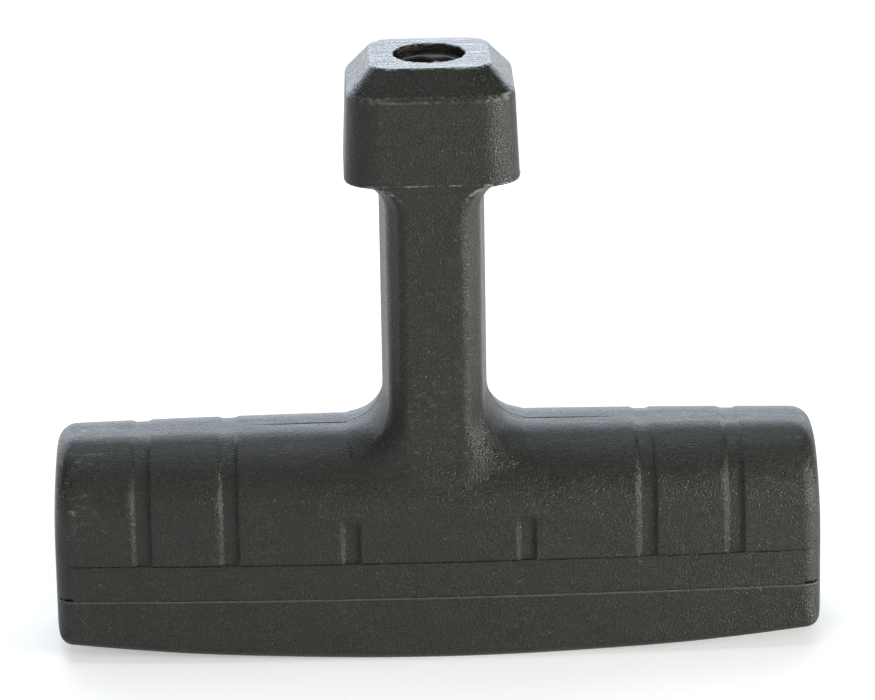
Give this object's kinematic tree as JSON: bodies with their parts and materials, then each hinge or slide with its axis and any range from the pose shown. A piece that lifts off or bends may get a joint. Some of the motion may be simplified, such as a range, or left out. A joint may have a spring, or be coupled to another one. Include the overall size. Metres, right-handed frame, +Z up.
{
  "type": "starter pull handle",
  "caption": "T-shaped pull handle of a recoil starter: a crossbar grip with shallow grooves, a stem and a square head with a rope hole.",
  "frame": {"origin": "lowest point of the palm cover, under the rope's axis", "axes": "+Z up the stem along the rope's axis to the head, +X along the crossbar, front and back alike along Y"},
  "size_m": [0.0908, 0.0228, 0.0711],
  "materials": {
    "body_nylon": "satin black glass-filled nylon with a fine speckle",
    "cover_nylon": "satin black glass-filled nylon",
    "bush_acetal": "smooth black acetal",
    "washer_zinc": "zinc-plated steel"
  },
  "bodies": {
    "handle": {"grip_body": "body_nylon", "rope_bush": "bush_acetal", "knot_washer": "washer_zinc"},
    "cover": {"palm_cover": "cover_nylon"}
  },
  "joints": [
    {"name": "cover_lift_off", "type": "slide", "parent": "handle", "child": "cover", "axis": [0, 0, -1], "range_m": [0, 0.03]}
  ]
}
